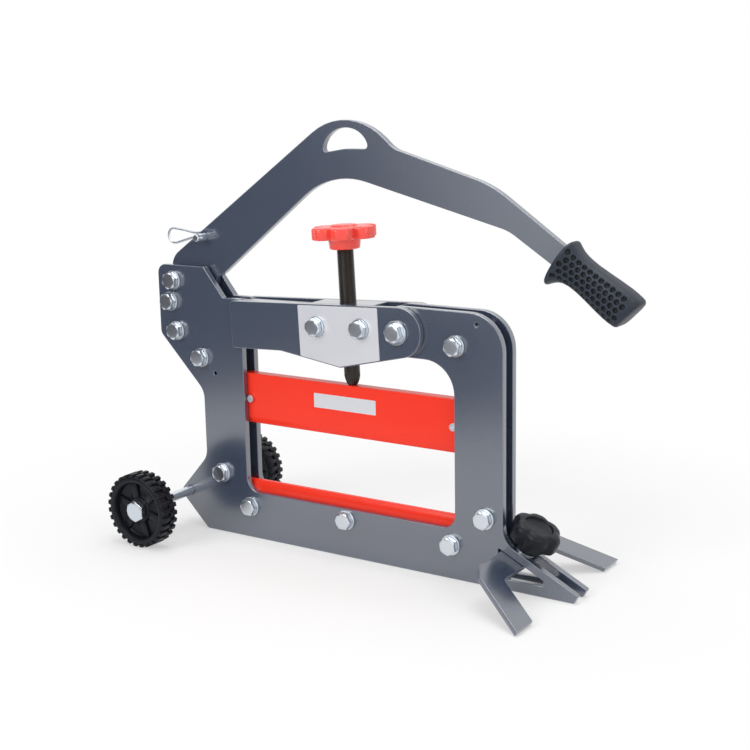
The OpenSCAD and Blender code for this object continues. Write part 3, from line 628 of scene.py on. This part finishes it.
# %% bolts
bolt_flats, head_height, nut_height = 19.0, 8.0, 10.0
shank_r, point_r, washer_thick = 6.0, 5.2, 2.5
thread_out, point_out = 9.9, 10.9
head_steps, shank_steps = 72, 40
shortest_bolt = 0.03
front = Matrix.Rotation(math.radians(90.0), 4, "X")
rear = Matrix.Rotation(math.radians(-90.0), 4, "X")


def solid_boxes(node):
    """The boxes of a node's separate solids, found by walking over shared points."""
    bm = clean_copy(node)
    left, boxes = set(bm.verts), []
    while left:
        island, queue = set(), [left.pop()]
        while queue:
            vert = queue.pop()
            island.add(vert)
            near = [e.other_vert(vert) for e in vert.link_edges]
            queue += [v for v in near if v in left]
            left -= set(near)
        boxes.append(corners_of([v.co for v in island]))
    bm.free()
    return boxes


def bolt_points(nodes):
    """One point per bolt, where its axis crosses the middle plane."""
    boxes = [box for node in nodes for box in solid_boxes(node)]
    centres = {(round((lo.x + hi.x) / 2, 4), 0.0, round((lo.z + hi.z) / 2, 4))
               for lo, hi in boxes if hi.y - lo.y > shortest_bolt}
    points = bpy.data.meshes.new("points")
    points.from_pydata(sorted(centres), [], [])
    return points


def bolt_set(name, body, pack, washer_r, seed, bolt_nodes, washer_nodes=(), nut_nodes=()):
    """Bolts, washers and nuts on one pack of plates; pack is its half thickness in millimetres."""
    seat = pack + washer_thick
    points = bolt_points(bolt_nodes)
    head = head_levels(bolt_flats, seat, seat + head_height)
    shank = [(0, -seat), (shank_r, -seat), (shank_r, seat + thread_out),
             (point_r, seat + point_out), (0, seat + point_out)]
    bolt = joined(placed(turned(head, head_steps), front),
                  placed(turned(shank, shank_steps), rear))
    rings = joined(*[placed(washer_mesh(washer_r, bolt_hole_r, pack, washer_thick), facing)
                     for facing in (front, rear)])
    nut = placed(turned(nut_levels(bolt_flats, seat, seat + nut_height), head_steps), rear)
    kinds = (("bolts", bolt, bolt_nodes), ("washers", rings, washer_nodes),
             ("nuts", nut, nut_nodes))
    for step, (label, piece, nodes) in enumerate(kinds):
        made = run_with_piece(bolt_tree, points.copy(), piece, "zinc", {"Seed": seed + step})
        shade(made)
        finish_piece(f"{name}_{label}", made, body, *nodes, slot="zinc")


bolt_set("plate", "frame", 15.5, 12.0, 3, ["plate_bolts", "lever_pivot_bolt"], ["plate_washers"],
         ["plate_nuts"])
bolt_set("pivot", "frame", 24.1, 14.0, 11, ["beam_pivot_bolt"])
bolt_set("block", "beam", 23.8, 12.0, 21, ["block_bolts"], ["block_washers"], ["block_nuts"])

# %% [markdown]
# The press screw has a fine rolled thread with two starts and a lead of four millimetres. The
# tree takes a plain round bar and sinks each point towards the axis by a wave of its height and
# its angle, which is what a thread is.

# %% thread tree
w, source = node_tree("thread", {"Lead": "Float", "Starts": "Float", "Depth": "Float"})
thread_tree = w
split = w.add("ShaderNodeSeparateXYZ", {0: w.add("GeometryNodeInputPosition").outputs[0]}).outputs
angle = w.math("DIVIDE", w.math("ARCTAN2", split["Y"], split["X"]), math.tau)
turns = w.math("SUBTRACT", w.math("DIVIDE", split["Z"], source["Lead"]), angle)
part = w.math("FRACT", w.math("MULTIPLY", turns, source["Starts"]))
wave = w.math("ABSOLUTE", w.math("MULTIPLY_ADD", part, 2.0, -1.0))
flank = w.add("ShaderNodeMapRange", {"Value": wave, "From Min": 0.3, "From Max": 0.72}).outputs[0]
sink_by = w.math("MULTIPLY", flank, source["Depth"])
level_part = w.add("ShaderNodeCombineXYZ", {"X": split["X"], "Y": split["Y"]}).outputs[0]
outward = w.add("ShaderNodeVectorMath", {0: level_part}, operation="NORMALIZE").outputs[0]
shift = w.add("ShaderNodeVectorMath", {0: outward, "Scale": w.math("MULTIPLY", sink_by, -1.0)},
              operation="SCALE")
cut = w.add("GeometryNodeSetPosition", {"Geometry": source["Geometry"],
                                        "Offset": shift.outputs[0]})
end_tree(w, source, cut)

# %% [markdown]
# The bar has a ring every quarter of a millimetre, fine enough for the thread's flanks. The
# screw ends in a fluted nose that presses the blade and doesn't turn with the screw.

# %% screw
ring_pitch, bar_steps, nose_steps = 0.25, 56, 160
low, high = span("press_screw", screw_axis)
rise = high.z - low.z
rings = int(rise / ring_pitch)
bar = [(0, low.z)] + [(high.x, low.z + rise * i / rings) for i in range(rings + 1)] + [(0, high.z)]
threaded = run_tree(thread_tree, turned(bar, bar_steps), "black_oxide",
                    {"Lead": 4.0, "Starts": 2.0, "Depth": 0.6})
finish_piece("press_screw_thread", placed(threaded, screw_axis, 60.0), "press_screw",
             "press_screw")


def fluted(radius, depth=0.6, count=20):
    return lambda a: radius - depth * (0.5 + 0.5 * math.cos(count * a))


low, high = span("thrust_tip", screw_axis)
top = high.z - low.z
levels = [(0, 0), (5.2, 0), (6.0, 0.6), (fluted(6.7), 1.8), (fluted(8.0), 5.0),
          (fluted(9.0), 8.4), (fluted(high.x), 11.0), (fluted(high.x), 14.6), (high.x, 15.8),
          (high.x, top - 0.5), (high.x - 0.5, top), (0, top)]
nose = placed(turned(levels, nose_steps, base=low.z), screw_axis, 30.0)
finish_piece("thrust_tip_nose", nose, "thrust_tip", "thrust_tip")

# %% [markdown]
# The hand grip is moulded rubber pushed over the lever's tang. It flares into a guard that has
# a lip under the fingers, narrows to a waist and swells before its end. It is lofted from
# sections: distance along the grip, then its reach down, up and sideways, and how square the
# section is below: an exponent of two is an ellipse and three a rounded square.

# %% grip form
slope = math.radians(35.0)
along = Vector((math.cos(slope), 0.0, -math.sin(slope)))
tang_start = Vector((0.525, 0.0, 0.061))
grip_start = Vector(joints["lever_swing"]["pos_m"]) + tang_start + along * 0.008
grip_axis = on_axis(grip_start, along)
low, high = span("hand_grip", grip_axis)
print("grip along its axis:", [round(c, 1) for c in low], [round(c, 1) for c in high])
grip_length, upper_square, end_lean = 96.0, 3.0, 3.0
ring_count, ring_steps, easing_rounds = 132, 232, 4
sections = [(0.0, 33.6, 22.0, 21.2, 2.0), (1.2, 35.0, 22.8, 22.0, 2.0),
            (3.0, 34.0, 22.4, 21.8, 2.0), (7.0, 28.6, 20.8, 20.4, 2.2),
            (12.0, 23.2, 19.0, 18.8, 2.5), (18.0, 19.4, 17.8, 17.7, 2.9),
            (26.0, 17.6, 17.2, 17.2, 3.0), (36.0, 17.3, 17.3, 17.1, 3.0),
            (50.0, 18.2, 18.3, 17.8, 3.0), (64.0, 19.4, 19.5, 18.9, 3.0),
            (76.0, 20.1, 20.3, 19.6, 3.0), (84.0, 20.1, 20.4, 19.7, 3.0),
            (91.0, 19.6, 20.0, 19.3, 3.0), (94.0, 19.0, 19.4, 18.7, 3.0),
            (95.4, 18.2, 18.6, 17.9, 3.0), (grip_length, 16.8, 17.1, 16.5, 3.0)]


def section_at(z):
    """The section at a distance along the grip, in a straight line between its neighbours."""
    after = next(i for i, s in enumerate(sections) if s[0] >= z or i == len(sections) - 1)
    a, b = sections[max(after - 1, 0)], sections[after]
    t = 0.0 if b[0] == a[0] else min(max((z - a[0]) / (b[0] - a[0]), 0.0), 1.0)
    return [p + (q - p) * t for p, q in zip(a[1:], b[1:])]


def oval(reach_down, reach_up, side, square):
    def radius(a):
        upright, power = (reach_down, square) if math.cos(a) > 0 else (reach_up, upper_square)
        both = abs(math.cos(a) / upright) ** power + abs(math.sin(a) / side) ** power
        return both ** (-1.0 / power)
    return radius


def leaning(z):
    """The ring's height by its angle: near the end the upper side reaches further."""
    return lambda a: z - end_lean * (z / grip_length) ** 5 * math.cos(a)


heights = [grip_length * i / (ring_count - 1) for i in range(ring_count)]
reaches = [section_at(z) for z in heights]
for easing in range(easing_rounds):
    eased = [[(a + 2 * b + c) / 4 for a, b, c in zip(*reaches[i - 1:i + 2])]
             for i in range(1, ring_count - 1)]
    reaches = [reaches[0]] + eased + [reaches[-1]]
skin = [(oval(*reach), leaning(z)) for reach, z in zip(reaches, heights)]
loft = turned([(0, 0)] + skin + [(0, grip_length)], ring_steps)

# %% [markdown]
# Rows of blind holes on both sides give hold. A tree sinks them by a rule: staggered rows, a
# pitch along the grip and a smooth round wall, from the distance of each point to the nearest
# hole's middle. It also marks the holes, and the rubber's finish darkens them as painted shade.

# %% grip holes
skin_r = 18.0
w, source = node_tree("staggered_holes", {
    "Pitch": "Float", "Row": "Float", "Rows": "Float", "First": "Float", "Last": "Float",
    "Radius": "Float", "Depth": "Float"})
hole_tree = w
split = w.add("ShaderNodeSeparateXYZ", {0: w.add("GeometryNodeInputPosition").outputs[0]}).outputs
lean = w.math("ARCTAN2", split["X"], w.math("ABSOLUTE", split["Y"]))
arc = w.math("MULTIPLY", lean, skin_r)
row = w.math("ROUND", w.math("DIVIDE", arc, source["Row"]))
half_pitch = w.math("MULTIPLY", source["Pitch"], 0.5)
stagger = w.math("MULTIPLY", w.math("PINGPONG", row, 1.0), half_pitch)
run = w.math("SUBTRACT", w.math("SUBTRACT", split["Z"], source["First"]), stagger)
column = w.math("ROUND", w.math("DIVIDE", run, source["Pitch"]))
side = w.math("SUBTRACT", arc, w.math("MULTIPLY", row, source["Row"]))
ahead = w.math("SUBTRACT", run, w.math("MULTIPLY", column, source["Pitch"]))
middle = w.math("SUBTRACT", split["Z"], ahead)
away = w.math("SQRT", w.math("ADD", w.math("MULTIPLY", side, side),
                             w.math("MULTIPLY", ahead, ahead)))
in_rows = w.math("LESS_THAN", w.math("ABSOLUTE", row), source["Rows"])
in_run = w.math("MULTIPLY", w.math("GREATER_THAN", column, -0.5),
                w.math("LESS_THAN", middle, source["Last"]))
wall = w.add("ShaderNodeMapRange", {
    "Value": w.math("DIVIDE", away, source["Radius"]), "From Min": 0.7, "From Max": 1.0,
    "To Min": -1.0, "To Max": 0.0}, interpolation_type="SMOOTHSTEP").outputs[0]
hole = w.math("MULTIPLY", wall, w.math("MULTIPLY", in_rows, in_run))
normal = w.add("GeometryNodeInputNormal").outputs[0]
offset = w.add("ShaderNodeVectorMath", {
    0: normal, "Scale": w.math("MULTIPLY", hole, source["Depth"])}, operation="SCALE").outputs[0]
# The holes' depth is stored as edge, and the rubber's finish darkens them there as painted shade.
marked = w.add("GeometryNodeStoreNamedAttribute", {
    "Geometry": source["Geometry"], "Name": "edge", "Value": w.math("MULTIPLY", hole, -1.0)},
    data_type="FLOAT", domain="POINT")
sunk = w.add("GeometryNodeSetPosition", {"Geometry": marked.outputs[0], "Offset": offset})
end_tree(w, source, sunk)

grip = run_tree(hole_tree, loft, "grip_rubber", {
    "Pitch": 7.7, "Row": 6.6, "Rows": 2.5, "First": 6.5, "Last": 89.0, "Radius": 2.85,
    "Depth": 2.8})
finish_piece("hand_grip_rubber", placed(grip, grip_axis, 60.0), "lever", "hand_grip")

# %% [markdown]
# The wheels are moulded in one piece: a tyre with two staggered rows of lugs, a rim with a deep
# dish, a hub and broad spokes. This tree sets copies of one lug or one spoke round the axis,
# joins them to the host and makes them real.

# %% ring tree
ring_tree, source = node_tree("ring_of_pieces", {"Piece": "Object", "Count": "Int",
                                                 "Phase": "Float"})
points = ring_tree.add("GeometryNodePoints", {"Count": source["Count"]})
order = ring_tree.add("GeometryNodeInputIndex").outputs[0]
share = ring_tree.math("DIVIDE", ring_tree.math("ADD", order, source["Phase"]), source["Count"])
turn = ring_tree.add("ShaderNodeCombineXYZ", {"Z": ring_tree.math("MULTIPLY", share, math.tau)})
shape = ring_tree.add("GeometryNodeObjectInfo", {"Object": source["Piece"]})
spread = ring_tree.add("GeometryNodeInstanceOnPoints", {
    "Points": points.outputs[0], "Rotation": turn.outputs[0],
    "Instance": shape.outputs["Geometry"]})
whole = ring_tree.add("GeometryNodeJoinGeometry", {0: spread.outputs[0]})
ring_tree.feed(whole.inputs[0], source["Geometry"])
end_tree(ring_tree, source, whole)

# %% [markdown]
# The tyre, rim and hub are turned from one half profile and its mirror image. Lugs and spokes
# are blocks that reach a little into the turned body, so that they look grown from it.

# %% wheels
lug_count, spoke_count, wheel_steps = 28, 6, 112


def block(near, far, near_half, far_half, low_z, high_z, ease):
    """A block that points along X and changes its width outwards, with its edges rounded."""
    bm = bmesh.new()
    corners = [(near, -near_half), (far, -far_half), (far, far_half), (near, near_half)]
    bottom = [bm.verts.new((x, y, low_z)) for x, y in corners]
    top = [bm.verts.new((x, y, high_z)) for x, y in corners]
    bm.faces.new(bottom[::-1])
    bm.faces.new(top)
    for i in range(4):
        bm.faces.new((bottom[i], bottom[i - 3], top[i - 3], top[i]))
    bmesh.ops.recalc_face_normals(bm, faces=bm.faces)
    bmesh.ops.bevel(bm, geom=bm.edges[:], offset=ease, offset_type="OFFSET", segments=2,
                    profile=0.5, affect="EDGES")
    return as_mesh(bm, "block")


def wheel(joint, node):
    axis = joint_axis(joint)
    high = span(node, axis)[1]
    outer, face = high.x, high.z
    half = [(5.4, 5.9), (6.0, 6.5), (15.2, 6.5), (16.0, 5.7), (16.7, 3.5), (17.8, 2.6),
            (33.4, 2.6), (34.8, 3.6), (36.0, face - 1.2), (36.8, face - 0.4), (37.8, face),
            (41.4, face - 0.1), (43.0, face - 0.9), (43.8, face - 2.4), (43.9, 0.6)]
    made = turned(half + [(r, -z) for r, z in reversed(half)], wheel_steps, closed=True)
    lug_form, spoke_form = (42.5, outer, 3.5, 2.6), (14.0, 37.0, 4.4, 5.6)
    near_lug = block(*lug_form, 0.25, face - 0.1, 0.9)
    far_lug = block(*lug_form, 0.1 - face, -0.25, 0.9)
    spoke = joined(block(*spoke_form, 2.0, 5.6, 1.0), block(*spoke_form, -5.6, -2.0, 1.0))
    for piece, count, phase in ((near_lug, lug_count, 0.0), (far_lug, lug_count, 0.5),
                                (spoke, spoke_count, 0.25)):
        made = run_with_piece(ring_tree, made, piece, "black_plastic",
                              {"Count": count, "Phase": phase})
    return placed(made, axis)


for side in ("front", "rear"):
    finish_piece(f"{side}_wheel_tyre", wheel(f"{side}_wheel_spin", f"{side}_wheel"),
                 f"{side}_wheel", f"{side}_wheel")

# %% [markdown]
# The axle is a turned bar that passes both plates, stepped down inside the wheels and closed by
# a hexagon nut at each end.

# %% axle
journal_r, bar_r, shoulder_r = 5.0, 6.0, 5.5
axle_flats, axle_nut_height = 24.0, 8.7


def cross_axis(node):
    """The frame along Y through a CAD node's middle, from the middle plane."""
    low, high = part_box(node)
    return on_axis(((low.x + high.x) / 2, 0.0, (low.z + high.z) / 2), (0.0, 1.0, 0.0))


axle_axis = cross_axis("wheel_axle")
end = span("wheel_axle", axle_axis)[1].z
step = max(p.z for p in points_on("wheel_axle", axle_axis) if math.hypot(p.x, p.y) > shoulder_r)
half = [(bar_r, step - 0.5), (shoulder_r, step), (journal_r, step), (journal_r, end), (0, end)]
axle = turned([(r, -z) for r, z in reversed(half)] + half, 48)
finish_piece("wheel_axle_bar", placed(axle, axle_axis), "frame", "wheel_axle")

end = span("axle_nuts", axle_axis)[1].z
head = head_levels(axle_flats, end - axle_nut_height, end)
middle = Matrix.Translation(axle_axis.to_translation())
ends = [placed(turned(head, head_steps), middle @ facing) for facing in (front, rear)]
finish_piece("axle_nuts_hexagon", joined(*ends), "frame", "axle_nuts")

# %% [markdown]
# A plain turned pin locks the lever. It lies across the object, as the axle does.

# %% pin
pin_r, pin_end_r, pin_chamfer = 4.5, 3.4, 1.1
pin_axis = cross_axis("lever_pin")
low, high = span("lever_pin", pin_axis)
pin = [(0, low.z), (pin_end_r, low.z), (pin_r, low.z + pin_chamfer),
       (pin_r, high.z - pin_chamfer), (pin_end_r, high.z), (0, high.z)]
finish_piece("lever_pin_bar", placed(turned(pin, 40), pin_axis), "lever_pin", "lever_pin")

# %% [markdown]
# A spring clip bent from one wire holds the pin. Its middle line is a short list of points; the
# tree draws a smooth curve through them and sweeps a circle along it, as a wire bender would.

# %% wire tree
w, source = node_tree("bent_wire", {"Radius": "Float", "Points": "Int"})
wire_tree = w
line = w.add("GeometryNodeMeshToCurve", {0: source["Geometry"]})
smooth = w.add("GeometryNodeCurveSplineType", {0: line.outputs[0]}, spline_type="CATMULL_ROM")
even = w.add("GeometryNodeResampleCurve", {0: smooth.outputs[0], "Count": source["Points"]})
circle = w.add("GeometryNodeCurvePrimitiveCircle", {"Resolution": 14,
                                                    "Radius": source["Radius"]})
swept = w.add("GeometryNodeCurveToMesh", {0: even.outputs[0], 1: circle.outputs[0],
                                          "Fill Caps": True})
end_tree(w, source, swept)

# %% [markdown]
# One leg of the clip passes through the pin, a round loop turns the wire back, and the other leg
# springs over the pin. The points are in millimetres from the pin's middle.

# %% clip
loop_x, loop_z, loop_r = -38.0, 1.15, 9.0
loop = [-math.pi / 2 - math.pi * i / 8 for i in range(9)]
bend = [(9.0, 0.0), (2.0, 0.0), (-5.0, 0.0), (-9.0, -0.2), (-22.0, -4.0), (-33.0, -7.2)]
bend += [(loop_x + loop_r * math.cos(a), loop_z + loop_r * math.sin(a)) for a in loop]
bend += [(-33.0, 9.7), (-22.0, 8.6), (-9.0, 6.7), (-4.0, 6.3), (0.0, 6.3), (4.0, 6.6)]
clip_low, clip_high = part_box("spring_clip")
clip_y = (clip_low.y + clip_high.y) / 2
pin_middle = pin_axis.to_translation()
wire = bpy.data.meshes.new("wire")
wire.from_pydata([(pin_middle.x + x / 1000, clip_y, pin_middle.z + z / 1000) for x, z in bend],
                 [(i, i + 1) for i in range(len(bend) - 1)], [])
clip = run_tree(wire_tree, wire, "zinc", {"Radius": 0.0015, "Points": 130})
shade(clip, 50.0)
finish_piece("spring_clip_wire", clip, "spring_clip", "spring_clip")

# %% [markdown]
# A thin bare film lies on the upper blade, and the label plate on the beam is bare as well. The
# pieces inside keep the form that they have in the CAD model, so they only need their finishes.

# %% film and inner pieces
film_x, film_over_middle = -0.005, 0.009
film_half_width, film_half_height, film_thick = 0.0443, 0.0088, 0.00015
low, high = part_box("upper_blade")
film = bmesh.new()
bmesh.ops.create_grid(film, x_segments=1, y_segments=1, size=1.0)
bmesh.ops.bevel(film, geom=film.verts[:], offset=0.05, segments=3, profile=0.5, affect="VERTICES")
thick = bmesh.ops.extrude_face_region(film, geom=film.faces[:])
raised = [g for g in thick["geom"] if isinstance(g, bmesh.types.BMVert)]
bmesh.ops.translate(film, verts=raised, vec=(0, 0, 1))
bmesh.ops.recalc_face_normals(film, faces=film.faces)
film_mesh = as_mesh(film, "film")
film_middle = (film_x, low.y, (low.z + high.z) / 2 + film_over_middle)
film_size = Matrix.Diagonal((film_half_width, film_half_height, film_thick, 1.0))
film_mesh.transform(Matrix.Translation(film_middle) @ front @ film_size)
finish_piece("blade_film", film_mesh, "upper_blade", slot="label_silver")

for node in ("plate_spacers", "beam_pivot_sleeve", "beam_tongue", "foot_stud"):
    frame["nodes"][node].material_slots[0].material = finishes[slot_of[node]]
    print(node, "keeps its CAD form")
